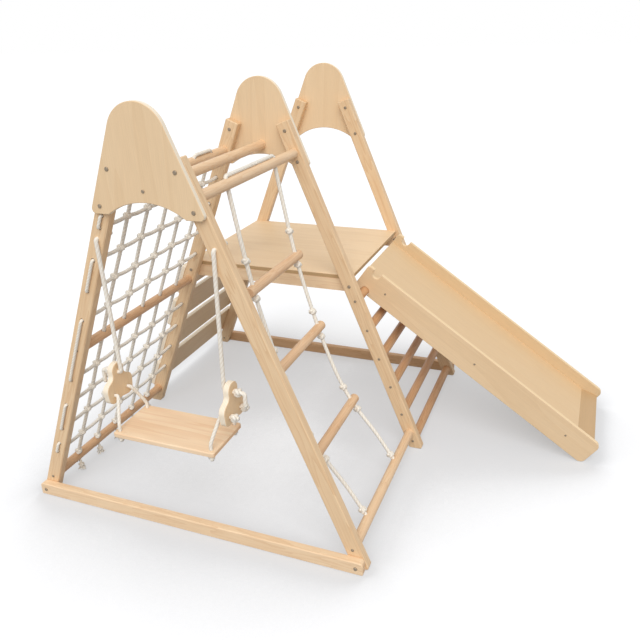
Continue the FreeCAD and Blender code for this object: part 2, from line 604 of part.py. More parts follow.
save("slide_runout", [slab(runout_corners, slide_place(BED_NEAR), Y_AXIS * (BED_FAR - BED_NEAR))])
save("slide_near_panel", [slide_panel(SLIDE_NEAR)])
save("slide_far_panel", [slide_panel(SLIDE_FAR - SLIDE_PLY)])
slide_screws = [small_screw(slide_point(s, SLIDE_MIDDLE, SLIDE_NEAR), Y_AXIS) for s in SLIDE_SCREWS]
slide_screws += [small_screw(slide_point(s, SLIDE_MIDDLE, SLIDE_FAR), Y_AXIS * -1) for s in SLIDE_SCREWS]
save("slide_screws", slide_screws)


# Climbing net: cords and rows as one holed sheet in the plane of the left legs, with knots at the
# crossings. The cords pass through holes in the three left bars; on top they run along the bar in pairs.
def net_point(y, down, out):
    return V(-CROWN_BOLT_HALF - down * SIN_TILT - out * COS_TILT, y, CROWN_BOLT_Z - down * COS_TILT + out * SIN_TILT)


def net_strip(y0, y1, down0, down1):
    wire = Part.makePolygon([net_point(y0, down0, -CORD_R), net_point(y1, down0, -CORD_R),
                             net_point(y1, down1, -CORD_R), net_point(y0, down1, -CORD_R),
                             net_point(y0, down0, -CORD_R)])
    return Part.Face(wire)


NET_OUT = V(-COS_TILT, 0, SIN_TILT)
NET_DOWN = V(-SIN_TILT, 0, -COS_TILT)
NET_MID_Y = (FRONT_BACK + MIDDLE_Y) / 2
NET_YS = [NET_MID_Y + (i - (NET_CORDS - 1) / 2) * NET_CORD_PITCH for i in range(NET_CORDS)]
NET_TOP = TOP_DOWN - BAR_R - ROPE_PLAY
NET_END = LOW_DOWN + BAR_R + ROPE_PLAY
NET_HOLE_R = CORD_R * math.sqrt(2) + HOLE_PLAY
strips = []
for y in NET_YS:
    strips.append(net_strip(y - CORD_R, y + CORD_R, NET_TOP - CORD_DIA, NET_END))
for i in range(1, NET_CORDS, 2):
    strips.append(net_strip(NET_YS[i - 1] - CORD_R, NET_YS[i] + CORD_R, NET_TOP - CORD_DIA, NET_TOP))
for down in NET_ROW_DOWN:
    strips.append(net_strip(FRONT_BACK, MIDDLE_Y, down - CORD_R, down + CORD_R))
knots = [net_strip(NET_YS[-1] - CORD_KNOT_RADIUS, NET_YS[-1] + CORD_KNOT_RADIUS, NET_TOP - CORD_KNOT_RADIUS * 2, NET_TOP)]
for y in NET_YS:
    for down in NET_ROW_DOWN:
        knots.append(net_strip(y - CORD_KNOT_RADIUS, y + CORD_KNOT_RADIUS, down - CORD_KNOT_RADIUS,
                               down + CORD_KNOT_RADIUS))
sheet = strips[0].multiFuse(strips[1:] + knots).removeSplitter()
net = [f.extrude(NET_OUT * CORD_DIA) for f in sheet.Faces]
print("net solids", len(net), "valid", [n.isValid() for n in net])
save("climbing_net", net)
for name, place in (("left_monkey_bar", SIDE_BAR), ("net_middle_bar", NET_MIDDLE), ("net_bottom_bar", LOW_BAR)):
    bores = [bore(V(-place[0], y, place[1]), NET_DOWN, NET_HOLE_R) for y in NET_YS]
    save(name, [bar(-place[0], place[1], FRONT_BACK, MIDDLE_Y).cut(bores)])


# Lacing: the rows of the net pass through the legs and run down the outer faces between two holes.
def lacing(laces, face, way, inside):
    stitches = []
    lane = face - way * (CORD_R + ROPE_PLAY)
    for upper, lower in laces:
        points = [net_point(inside, upper, 0), net_point(lane, upper, 0),
                  net_point(lane, lower, 0), net_point(inside, lower, 0)]
        stitches.append(tube(points, CORD_R, [LACE_BEND, LACE_BEND]))
    return stitches


save("net_lacing_front", lacing(LACES, FRONT_Y, 1, FRONT_BACK))
save("net_lacing_middle", lacing(MIDDLE_LACES, MIDDLE_BACK, -1, MIDDLE_Y))


# Tassels: the knotted, frayed cord ends under the net's bottom bar.
tassels = []
for y in NET_YS:
    profile = [V(0, 0, 0), V(CORD_R, 0, 0), V(CORD_KNOT_RADIUS, 0, CORD_R), V(CORD_KNOT_RADIUS, 0, CORD_DIA),
               V(CORD_R, 0, CORD_KNOT_RADIUS + CORD_R), V(TASSEL_ROUND, 0, TASSEL_DROP), V(0, 0, TASSEL_DROP), V(0, 0, 0)]
    tassel = Part.Face(Part.makePolygon(profile)).revolve(V(0, 0, 0), V(0, 0, 1), 360)
    tassel.Placement = FreeCAD.Placement(net_point(y, NET_END, 0), FreeCAD.Rotation(V(0, 0, 1), NET_DOWN))
    tassels.append(tassel)
save("net_tassels", tassels)


# Rope ladder: one length of rope lies along the top of the right monkey bar, goes down through a hole near
# each end of that run, through three rungs and through the low bar. Front and rear halves meet in the middle.
# The route is in shares of the way out and down from the top bar to the low bar; both halves drift forward.
LADDER_SHARES = [(0.054, 0.1124), (0.1027, 0.2069), (0.1693, 0.3277), (0.264, 0.4538), (0.3767, 0.5924),
                 (0.5252, 0.7353), (0.684, 0.8298), (0.8581, 0.9097)]
LADDER_RUNG_SHARES = (0.2975, 0.537, 0.792)
LADDER_ROUTE = [(SIDE_BAR[0] + (LOW_BAR[0] - SIDE_BAR[0]) * out, SIDE_BAR[1] + (LOW_BAR[1] - SIDE_BAR[1]) * down)
                for out, down in LADDER_SHARES]


def past_bar(start, place, reach):
    """The end of a run that goes from a point straight through a bar's middle and some way past it."""
    dx = place[0] - start[0]
    dz = place[1] - start[1]
    run = math.hypot(dx, dz)
    return (place[0] + dx / run * reach, place[1] + dz / run * reach)


LADDER_TOP = past_bar(LADDER_ROUTE[0], SIDE_BAR, BAR_R + ROPE_PLAY + ROPE_R)
LADDER_END = past_bar(LADDER_ROUTE[-1], LOW_BAR, BAR_R + LADDER_TAIL)
LADDER_LINE = [LADDER_TOP] + LADDER_ROUTE + [LADDER_END]
rope_drop = LADDER_TOP[1] - LADDER_END[1]


def ladder_route(y_top):
    return [V(x, y_top - LADDER_LEAN * (LADDER_TOP[1] - z) / rope_drop, z) for x, z in LADDER_LINE]


front_route = ladder_route(LADDER_FRONT_Y)
rear_route = ladder_route(LADDER_FRONT_Y + LADDER_WIDTH)
rungs = []
for down in LADDER_RUNG_SHARES:
    rung_z = SIDE_BAR[1] + (LOW_BAR[1] - SIDE_BAR[1]) * down
    run = [i for i in range(len(LADDER_LINE) - 1) if LADDER_LINE[i][1] > rung_z][-1]
    ends = []
    bores = []
    for route in (front_route, rear_route):
        heading = route[run + 1] - route[run]
        at = route[run] + heading * ((rung_z - route[run].z) / heading.z)
        ends.append(at)
        bores.append(bore(at, heading, ROPE_R + HOLE_PLAY))
    rung = rod(ends[0].x, ends[0].z, ends[0].y - LADDER_RUNG_OVER, ends[1].y + LADDER_RUNG_OVER, LADDER_RUNG_DIA / 2)
    edges = [e for e in rung.Edges if e.Curve.TypeId == "Part::GeomCircle"]
    rungs.append((ends, rung.makeChamfer(EDGE_EASE, edges).cut(bores), run))
for k in range(len(rungs)):
    save("rope_ladder_rung_%d" % (k + 1), [rungs[k][1]])


def ladder_rope(route, side, meet):
    """Half of the ladder's rope, from the middle of its run on the bar, with a knot each side of every rung."""
    points = [V(route[0].x, meet, route[0].z)] + route
    rope = tube(points, ROPE_R, [LADDER_TOP_BEND] + easy_bends(route))
    heading = (route[-1] - route[-2]).normalize()
    at = route[-1] - heading * (LADDER_TAIL + BAR_DIA + KNOT_RADIUS + ROPE_PLAY)
    pieces = [knot(at, heading, KNOT_RADIUS)]
    for k in range(len(rungs)):
        run = rungs[k][2]
        heading = (route[run + 1] - route[run]).normalize()
        at = rungs[k][0][side]
        off = LADDER_RUNG_DIA / 2 + KNOT_RADIUS + ROPE_PLAY
        pieces += [knot(at - heading * off, heading, KNOT_RADIUS), knot(at + heading * off, heading, KNOT_RADIUS)]
    fused = rope.multiFuse(pieces)
    print("ladder rope solids", len(fused.Solids), "valid", fused.isValid())
    return fused.Solids


LADDER_MEET = LADDER_FRONT_Y + LADDER_WIDTH / 2
save("rope_ladder_front_rope", ladder_rope(front_route, 0, LADDER_MEET - ROPE_PLAY / 2))
save("rope_ladder_rear_rope", ladder_rope(rear_route, 1, LADDER_MEET + ROPE_PLAY / 2))


def ladder_bar(place, start, radius):
    """Bar with the two holes of the rope ladder, along the run of the route that starts at an index."""
    solid = bar(place[0], place[1], FRONT_BACK, MIDDLE_Y)
    for route in (front_route, rear_route):
        heading = route[start + 1] - route[start]
        share = (place[1] - route[start].z) / heading.z
        solid = solid.cut(bore(route[start] + heading * share, heading, radius))
    return solid


save("right_monkey_bar", [ladder_bar(SIDE_BAR, 0, ROPE_R + LACE_HOLE_PLAY)])
save("rope_ladder_bottom_bar", [ladder_bar(LOW_BAR, len(LADDER_LINE) - 2, ROPE_R + HOLE_PLAY)])


# Swing: a plank seat on four short cords from two three-lobed plates, which hang from the front legs.
PLATE_OUTER = PLATE_INNER + PLATE_THICK
HANGER_CORNER = V(PLATE_INNER - HANGER_INSET, SWING_Y, PLATE_HOLE_Z)
HANGER_HEAD = V(SWING_HOLE[0], SWING_Y, SWING_HOLE_Z)
HANGER_RUN = HANGER_CORNER - HANGER_HEAD
HINGE = HANGER_HEAD + HANGER_RUN * ((SWING_HOLE_Z - SWING_HINGE_Z) / (SWING_HOLE_Z - PLATE_HOLE_Z))


def swing_anchor():
    """Right rope through the leg, knotted behind it and ending in a ball at the hinge line."""
    rope = tube([V(SWING_HOLE[0], FRONT_BACK + KNOT_RADIUS * 2 + ROPE_R, SWING_HOLE_Z), HANGER_HEAD, HINGE],
                ROPE_R, [HANGER_BEND])
    ball = Part.makeSphere(HINGE_BALL_R, HINGE, HANGER_RUN)
    back_knot = knot(V(SWING_HOLE[0], FRONT_BACK + KNOT_RADIUS + ROPE_PLAY, SWING_HOLE_Z), Y_AXIS, KNOT_RADIUS)
    return rope.multiFuse([ball, back_knot])


right_anchor = swing_anchor()
save("swing_anchors", [right_anchor, mirror_x(right_anchor)])
SEAT_HOLE_X = SEAT_LENGTH / 2 - SEAT_HOLE_INSET
SEAT_HOLE_Y = SEAT_DEPTH / 2 - SEAT_HOLE_INSET
seat_corners = [(-SEAT_LENGTH / 2, SWING_Y - SEAT_DEPTH / 2, SEAT_CORNER), (SEAT_LENGTH / 2, SWING_Y - SEAT_DEPTH / 2,
                SEAT_CORNER), (SEAT_LENGTH / 2, SWING_Y + SEAT_DEPTH / 2, SEAT_CORNER),
                (-SEAT_LENGTH / 2, SWING_Y + SEAT_DEPTH / 2, SEAT_CORNER)]
seat = slab(seat_corners, lambda u, v: V(u, v, SEAT_TOP_Z - SEAT_THICK), V(0, 0, SEAT_THICK))
seat = eased(seat, SEAT_EASE, V(0, 0, 1))
seat_holes = [Part.makeCylinder(CORD_R + HOLE_PLAY, SEAT_THICK + OVERRUN * 2,
                                V(sx * SEAT_HOLE_X, SWING_Y + sy * SEAT_HOLE_Y, SEAT_TOP_Z - SEAT_THICK - OVERRUN))
              for sx in (1, -1) for sy in (1, -1)]
save("swing_seat", [seat.cut(seat_holes)])
PLATE_LOW_Z = PLATE_HOLE_Z - PLATE_LOW_DROP
plate_half = [(PLATE_TOP_HALF, PLATE_TOP_UP, PLATE_LOBE_ROUND), (PLATE_WAIST_HALF, PLATE_WAIST_UP, PLATE_WAIST_ROUND),
              (PLATE_LOBE_HALF, PLATE_LOBE_UP, PLATE_LOBE_ROUND), (PLATE_FOOT_HALF, PLATE_FOOT_UP, PLATE_LOBE_ROUND)]
plate_corners = plate_half + [(0, PLATE_ARCH_UP, PLATE_WAIST_ROUND)] + [(-u, v, r) for u, v, r in plate_half[::-1]]
plate = slab(plate_corners, lambda u, v: V(PLATE_INNER, SWING_Y + u, PLATE_HOLE_Z + v), X_AXIS * PLATE_THICK)
plate = eased(plate, PLY_EASE, X_AXIS)
through = PLATE_THICK + OVERRUN * 2
plate = plate.cut([Part.makeCylinder(ROPE_R + HOLE_PLAY, through, V(PLATE_INNER - OVERRUN, SWING_Y, PLATE_HOLE_Z), X_AXIS)]
                  + [Part.makeCylinder(CORD_R + HOLE_PLAY, through,
                                       V(PLATE_INNER - OVERRUN, SWING_Y + sy * PLATE_LOW_HALF, PLATE_LOW_Z), X_AXIS)
                     for sy in (1, -1)])
save("swing_right_plate", [plate])
save("swing_left_plate", [mirror_x(plate)])


def hanger():
    """Right hanger: cupped under the hinge ball, down inside the plate, out through it and knotted."""
    start = HINGE + V(HANGER_RUN).normalize() * HANGER_TOP_GAP
    tail = V(PLATE_OUTER + HANGER_TAIL_OUT, SWING_Y, PLATE_HOLE_Z)
    rope = tube([start, HANGER_CORNER, tail, tail - V(0, 0, HANGER_TAIL_DROP)], ROPE_R, [HANGER_BEND, HANGER_TAIL_BEND])
    plate_knot = knot(V(PLATE_OUTER + KNOT_RADIUS + ROPE_PLAY, SWING_Y, PLATE_HOLE_Z), X_AXIS, KNOT_RADIUS)
    return rope.fuse(plate_knot).cut(Part.makeSphere(HINGE_BALL_R + ROPE_PLAY, HINGE, HANGER_RUN))


right_hanger = hanger()
save("swing_hangers", [right_hanger, mirror_x(right_hanger)])


def seat_cord(sy):
    """Cord from a knot outside the right plate, through the plate and down through a corner of the seat."""
    y = SWING_Y + sy * PLATE_LOW_HALF
    low = SEAT_TOP_Z - SEAT_THICK - SEAT_KNOT_DROP * 2 - CORD_R
    seat_hole = V(SEAT_HOLE_X, SWING_Y + sy * SEAT_HOLE_Y, SEAT_TOP_Z - SEAT_THICK)
    points = [V(PLATE_OUTER + CORD_KNOT_RADIUS * 2 + CORD_R, y, PLATE_LOW_Z), V(PLATE_INNER - HANGER_INSET, y, PLATE_LOW_Z),
              V(SEAT_HOLE_X, seat_hole.y, SEAT_TOP_Z + SEAT_KNOT_DROP), V(SEAT_HOLE_X, seat_hole.y, low)]
    cord = tube(points, CORD_R, [HANGER_BEND, SEAT_KNOT_DROP])
    plate_knot = knot(V(PLATE_OUTER + CORD_KNOT_RADIUS + ROPE_PLAY, y, PLATE_LOW_Z), X_AXIS, CORD_KNOT_RADIUS)
    seat_knot = knot(seat_hole - V(0, 0, CORD_KNOT_RADIUS + ROPE_PLAY), V(0, 0, 1), CORD_KNOT_RADIUS)
    return cord.multiFuse([plate_knot, seat_knot])


seat_cords = [seat_cord(1), seat_cord(-1)]
save("swing_seat_cords", seat_cords + [mirror_x(c) for c in seat_cords])


# Fasteners: bolts through two boards, with the heads where the front shows them, and screws into bar ends.
def both_sides(places):
    return places + mirrored(places)


BACK = Y_AXIS * -1
crown_bolts = []
for x, z in both_sides(CROWN_BOLTS):
    crown_bolts.append(bolt(V(x, FRONT_Y - CROWN_THICK, z), Y_AXIS, CROWN_THICK + LEG_THICK))
    crown_bolts.append(bolt(V(x, MIDDLE_Y, z), Y_AXIS, LEG_THICK + CROWN_THICK))
    crown_bolts.append(bolt(V(x, REAR_Y, z), Y_AXIS, LEG_THICK + CROWN_THICK))
save("crown_bolts", crown_bolts)
rail_bolts = []
for x, z in both_sides([RAIL_BOLT]):
    rail_bolts.append(bolt(V(x, FRONT_Y - RAIL_THICK, z), Y_AXIS, RAIL_THICK + LEG_THICK))
for x, z in mirrored([RAIL_BOLT]):
    rail_bolts.append(bolt(V(x, REAR_BACK + RAIL_THICK, z), BACK, RAIL_THICK + LEG_THICK))
save("rail_bolts", rail_bolts)
beam_bolts = []
for x, z in both_sides([BEAM_BOLT]):
    beam_bolts.append(bolt(V(x, MIDDLE_Y, z), Y_AXIS, LEG_THICK + RAIL_THICK))
    beam_bolts.append(bolt(V(x, REAR_BACK, z), BACK, LEG_THICK + RAIL_THICK))
save("beam_bolts", beam_bolts)
leg_screw = LEG_THICK + SCREW_REACH
bar_screws = []
for x, z in both_sides([LOW_BAR]):
    bar_screws.append(screw(V(x, FRONT_Y, z), Y_AXIS, leg_screw))
for x, z in both_sides([LOW_BAR]) + mirrored([NET_MIDDLE]):
    bar_screws.append(screw(V(x, MIDDLE_BACK, z), BACK, leg_screw))
for x, z in both_sides([SIDE_BAR]) + mirrored([NET_MIDDLE]):
    bar_screws.append(screw(V(x, FRONT_Y + SINK_DEEP, z), Y_AXIS, leg_screw - SINK_DEEP))
for x, z in both_sides([SIDE_BAR]):
    bar_screws.append(screw(V(x, MIDDLE_BACK - SINK_DEEP, z), BACK, leg_screw - SINK_DEEP))
bar_screws.append(screw(V(0, FRONT_Y - CROWN_THICK, MIDDLE_BAR_Z), Y_AXIS, CROWN_THICK + SCREW_REACH))
bar_screws.append(screw(V(0, MIDDLE_BACK + CROWN_THICK, MIDDLE_BAR_Z), BACK, CROWN_THICK + SCREW_REACH))
save("bar_screws", bar_screws)
rung_screws = []
for x, z in RUNGS:
    rung_screws.append(screw(V(x, MIDDLE_Y, z), Y_AXIS, leg_screw))
for x, z in RUNGS[:-1]:
    rung_screws.append(screw(V(x, REAR_BACK, z), BACK, leg_screw))
for x, z in RUNGS[-1:]:
    rung_screws.append(screw(V(x, REAR_BACK + RAIL_THICK, z), BACK, leg_screw + RAIL_THICK))
save("rung_screws", rung_screws)
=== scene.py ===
import bpy
import math
import numpy as np
from mathutils import Matrix, Vector


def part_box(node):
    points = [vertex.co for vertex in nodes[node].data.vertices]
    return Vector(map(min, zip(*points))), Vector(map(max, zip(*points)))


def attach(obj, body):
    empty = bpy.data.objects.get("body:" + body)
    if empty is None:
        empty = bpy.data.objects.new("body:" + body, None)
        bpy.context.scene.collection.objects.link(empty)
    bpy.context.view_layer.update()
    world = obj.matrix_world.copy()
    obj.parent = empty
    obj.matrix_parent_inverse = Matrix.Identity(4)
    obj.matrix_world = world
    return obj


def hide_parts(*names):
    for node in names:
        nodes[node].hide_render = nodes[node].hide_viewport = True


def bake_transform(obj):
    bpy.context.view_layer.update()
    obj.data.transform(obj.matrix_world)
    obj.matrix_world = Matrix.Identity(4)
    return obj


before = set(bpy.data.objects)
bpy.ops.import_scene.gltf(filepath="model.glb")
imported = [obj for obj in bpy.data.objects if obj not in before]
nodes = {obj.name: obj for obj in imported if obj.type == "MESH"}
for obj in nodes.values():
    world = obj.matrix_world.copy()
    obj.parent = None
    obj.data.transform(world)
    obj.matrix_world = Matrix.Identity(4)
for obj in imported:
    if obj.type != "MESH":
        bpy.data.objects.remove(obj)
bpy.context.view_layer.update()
scene = bpy.context.scene


# Camera: from the front right, a little above the crowns, matched to the photograph.
CAMERA_PLACE = Vector((1.008, -1.371, 1.404))
CAMERA_YAW = math.radians(22.2)
CAMERA_PITCH = math.radians(23.88)
CAMERA_ROLL = math.radians(-2.05)
LENS_MM = 38.65
SENSOR_MM = 36.0
forward = Vector((-math.sin(CAMERA_YAW) * math.cos(CAMERA_PITCH),
                  math.cos(CAMERA_YAW) * math.cos(CAMERA_PITCH), -math.sin(CAMERA_PITCH)))
level_right = Vector((math.cos(CAMERA_YAW), math.sin(CAMERA_YAW), 0.0))
level_up = level_right.cross(forward)
camera_right = level_right * math.cos(CAMERA_ROLL) + level_up * math.sin(CAMERA_ROLL)
camera_up = level_up * math.cos(CAMERA_ROLL) - level_right * math.sin(CAMERA_ROLL)
camera_data = bpy.data.cameras.new("camera")
camera_data.lens = LENS_MM
camera_data.sensor_width = SENSOR_MM
camera = bpy.data.objects.new("camera", camera_data)
turn = Matrix((camera_right, camera_up, -forward)).transposed()
camera.matrix_world = Matrix.Translation(CAMERA_PLACE) @ turn.to_4x4()
scene.collection.objects.link(camera)
scene.camera = camera
scene.view_settings.view_transform = "Standard"


# Room: a white floor that runs on as the background, an even white surround and one broad soft light
# from the upper front right. The floor is shaded where the frame stands over it.
def linear(colour):
    """Linear RGBA of an sRGB hex colour."""
    parts = [int(colour[i:i + 2], 16) / 255 for i in (1, 3, 5)]
    return [p / 12.92 if p <= 0.04045 else ((p + 0.055) / 1.055) ** 2.4 for p in parts] + [1.0]


def add(tree, kind, inputs=(), **settings):
    """A node with its settings, and its inputs as (socket, value or output to link) pairs."""
    node = tree.nodes.new(kind)
    for name, value in settings.items():
        setattr(node, name, value)
    for socket, value in inputs:
        if isinstance(value, bpy.types.NodeSocket):
            tree.links.new(value, node.inputs[socket])
        else:
            node.inputs[socket].default_value = value
    return node


def new_material(name):
    """An empty node material and its Principled shader."""
    material = bpy.data.materials.new(name)
    material.use_nodes = True
    return material, material.node_tree, material.node_tree.nodes["Principled BSDF"]


def maths(tree, operation, first, second=0.0):
    """Output of one sum on numbers or outputs."""
    return add(tree, "ShaderNodeMath", ((0, first), (1, second)), operation=operation).outputs[0]


def remap(tree, value, start, stop, low, high):
    """Output that goes from low to high while a value goes from start to stop, and stays between them."""
    return add(tree, "ShaderNodeMapRange", (("Value", value), ("From Min", start), ("From Max", stop),
                                            ("To Min", low), ("To Max", high))).outputs[0]


def mixed(tree, factor, first, second, blend="MIX"):
    """Output of two mixed colours."""
    return add(tree, "ShaderNodeMix", (("Factor", factor), (6, first), (7, second)), data_type="RGBA",
               blend_type=blend).outputs[2]


def shown(tree):
    """1 on rays that come from the camera or by a reflection, and 0 on rays that light the object."""
    path = add(tree, "ShaderNodeLightPath")
    seen = maths(tree, "MAXIMUM", path.outputs["Is Camera Ray"], path.outputs["Is Glossy Ray"])
    return maths(tree, "MAXIMUM", seen, path.outputs["Is Transmission Ray"])


FLOOR_SIZE = 60.0
FLOOR_DROP = 0.0006
SURROUND_LEVEL = 0.62
FLOOR_GLOW = 0.72
CORNER_REACH = 0.62
CORNER_OPEN_SHARE = 0.80     # part of the sky in view where the floor's shade is full
CORNER_SHADE = 0.60
KEY_FROM = Vector((0.24, -0.66, 0.72))
KEY_SPREAD = math.radians(45.0)
KEY_LEVEL = 1.75
world = bpy.data.worlds.new("white surround")
scene.world = world
world.use_nodes = True
sky = world.node_tree.nodes["Background"]
sky.inputs["Color"].default_value = linear("#FFFFFF")
level = add(world.node_tree, "ShaderNodeMix", (("Factor", shown(world.node_tree)), ("A", SURROUND_LEVEL),
                                               ("B", 1.0)), data_type="FLOAT")
world.node_tree.links.new(level.outputs["Result"], sky.inputs["Strength"])
floor_mesh = bpy.data.meshes.new("floor")
half = FLOOR_SIZE / 2
floor_mesh.from_pydata([(-half, -half, -FLOOR_DROP), (half, -half, -FLOOR_DROP), (half, half, -FLOOR_DROP),
                        (-half, half, -FLOOR_DROP)], [], [(0, 1, 2, 3)])
floor = bpy.data.objects.new("floor", floor_mesh)
scene.collection.objects.link(floor)
paper, tree, shader = new_material("white paper floor")
shader.inputs["Base Color"].default_value = linear("#A0A1A4")
shader.inputs["Roughness"].default_value = 1.0
shader.inputs["Specular IOR Level"].default_value = 0.0
shader.inputs["Emission Color"].default_value = linear("#FFFFFF")
corner = add(tree, "ShaderNodeAmbientOcclusion", (("Distance", CORNER_REACH),), samples=32)
lit = remap(tree, corner.outputs["AO"], CORNER_OPEN_SHARE, 1.0, CORNER_SHADE * FLOOR_GLOW, FLOOR_GLOW)
tree.links.new(maths(tree, "MULTIPLY", shown(tree), lit), shader.inputs["Emission Strength"])
floor_mesh.materials.append(paper)
key_data = bpy.data.lights.new("key", "SUN")
key_data.energy = KEY_LEVEL
key_data.angle = KEY_SPREAD
key = bpy.data.objects.new("key", key_data)
key.rotation_euler = (-KEY_FROM).to_track_quat("-Z", "Y").to_euler()
scene.collection.objects.link(key)


# Wood: grain lines are the contours of a noise field drawn out along the piece, with finer fibres over them.
# Plywood shows its glue lines on faces square to the sheet.
GRAIN_STRETCH = 14.0         # length of a ring's figure over its width
TONE_STRETCH = 9.0
TONE_WIDTH = 2.2
FIBRE_LONG_MM = 60.0
FIBRE_WIDE_MM = 1.4
LINE_SHARPNESS = 2.2
END_GRAIN_SHADE = 0.45
EDGE_COVER = 0.95
PLY_LAYER_MM = 2.1


def wood(name, along, thick, pale, dark, lines, figure, width_mm, patches=0.2, edges=None):
    """Wood with grain along one direction; lines and figure set how many rings show and how strongly."""
    material, tree, shader = new_material(name)
    along = Vector(along).normalized()
    thick = Vector(thick).normalized()
    across = thick.cross(along)
    place = add(tree, "ShaderNodeTexCoord")

    def measure(output, direction):
        return add(tree, "ShaderNodeVectorMath", ((0, place.outputs[output]), (1, direction)),
                   operation="DOT_PRODUCT").outputs["Value"]

    def stretched(along_mm, across_mm, detail):
        scaled = [maths(tree, "MULTIPLY", measure("Object", d), 1000 / mm)
                  for d, mm in ((along, along_mm), (across, across_mm), (thick, across_mm))]
        vector = add(tree, "ShaderNodeCombineXYZ", [(i, scaled[i]) for i in range(3)])
        return add(tree, "ShaderNodeTexNoise", (("Vector", vector.outputs[0]), ("Scale", 1.0),
                                                ("Detail", detail), ("Roughness", 0.5))).outputs["Fac"]

    rings = stretched(width_mm * GRAIN_STRETCH, width_mm, 1.5)
    fibre = stretched(FIBRE_LONG_MM, FIBRE_WIDE_MM, 3.0)
    tone = stretched(width_mm * TONE_STRETCH, width_mm * TONE_WIDTH, 2.0)
    saw = maths(tree, "FLOORED_MODULO", maths(tree, "MULTIPLY", rings, lines), 1.0)
    line = maths(tree, "POWER", saw, LINE_SHARPNESS)
    colour = mixed(tree, maths(tree, "MULTIPLY", line, figure), linear(pale), linear(dark))
    colour = mixed(tree, remap(tree, tone, 0.3, 0.7, 0.0, patches), colour, linear(dark))
    colour = mixed(tree, 1.0, colour, remap(tree, fibre, 0.25, 0.75, 0.93, 1.04), "MULTIPLY")
    end = maths(tree, "ABSOLUTE", measure("Normal", along))
    colour = mixed(tree, remap(tree, end, 0.75, 0.95, 0.0, END_GRAIN_SHADE), colour, linear(dark))
    if edges:
        face = maths(tree, "ABSOLUTE", measure("Normal", thick))
        depth = maths(tree, "MULTIPLY", measure("Object", thick), 1000 / PLY_LAYER_MM)
        veneer = mixed(tree, maths(tree, "PINGPONG", depth, 1.0), linear(edges[0]), linear(edges[1]))
        colour = mixed(tree, remap(tree, face, 0.5, 0.35, 0.0, EDGE_COVER), colour, veneer)
    tree.links.new(colour, shader.inputs["Base Color"])
    tree.links.new(remap(tree, fibre, 0.0, 1.0, 0.42, 0.6), shader.inputs["Roughness"])
    bump = add(tree, "ShaderNodeBump", (("Height", fibre), ("Strength", 0.12), ("Distance", 0.0004)))
    tree.links.new(bump.outputs[0], shader.inputs["Normal"])
    return material


def dress(material, slot, *names):
    """Give CAD nodes a material; the slot argument is not used."""
    for name in names:
        nodes[name].data.materials.clear()
        nodes[name].data.materials.append(material)


# Solid pine: legs, ground rails, deck beams and the swing's seat, each with its grain along its length.
PINE_PALE = "#EFD0A8"
PINE_DARK = "#D8AC7C"
LEG_LEAN = math.atan2(0.540 - 0.097, 1.080)
right_down = (math.sin(LEG_LEAN), 0.0, -math.cos(LEG_LEAN))
left_down = (-math.sin(LEG_LEAN), 0.0, -math.cos(LEG_LEAN))
for side, down in (("right", right_down), ("left", left_down)):
    pine = wood("oiled pine, %s legs" % side, down, (0, 1, 0), PINE_PALE, PINE_DARK,
                lines=8.0, figure=0.55, width_mm=26.0)
    dress(pine, "pine", *["%s_%s_leg" % (place, side) for place in ("front", "middle", "rear")])
pine_rails = wood("oiled pine, rails", (1, 0, 0), (0, 1, 0), "#F8DAB4", "#DDAF80",
                  lines=7.0, figure=0.4, width_mm=24.0)
dress(pine_rails, "pine", "front_ground_rail", "deck_front_beam", "deck_rear_beam")
# The rear rail is the same pine as the other rails, coloured darker: painted shade.
pine_rear_shaded = wood("oiled pine, rear rail in painted shade", (1, 0, 0), (0, 1, 0), "#E6BD91", "#CB9767",
                 lines=7.0, figure=0.4, width_mm=24.0)
dress(pine_rear_shaded, "pine", "rear_ground_rail")
pine_seat = wood("oiled pine, seat", (1, 0, 0), (0, 0, 1), "#FFE9C9", "#DFA873",
                 lines=3.0, figure=0.30, width_mm=42.0, patches=0.62)
dress(pine_seat, "pine", "swing_seat")


# Birch plywood: crowns, deck, climbing boards, slide and swing plates, with pale faces and layered edges.
# Near-white edges of the crowns, boards and swing plates: the birch edge's own pale colour with a painted
# highlight.
PALE_EDGES_WITH_HIGHLIGHT = ("#FFF6E6", "#F2DFC1")
WARM_EDGES = ("#FAE2BA", "#E6C699")
BROWN_EDGES = ("#CDAA7E", "#AA8759")
PLY_PALE = "#F0D2AA"
PLY_DARK = "#DDB98C"
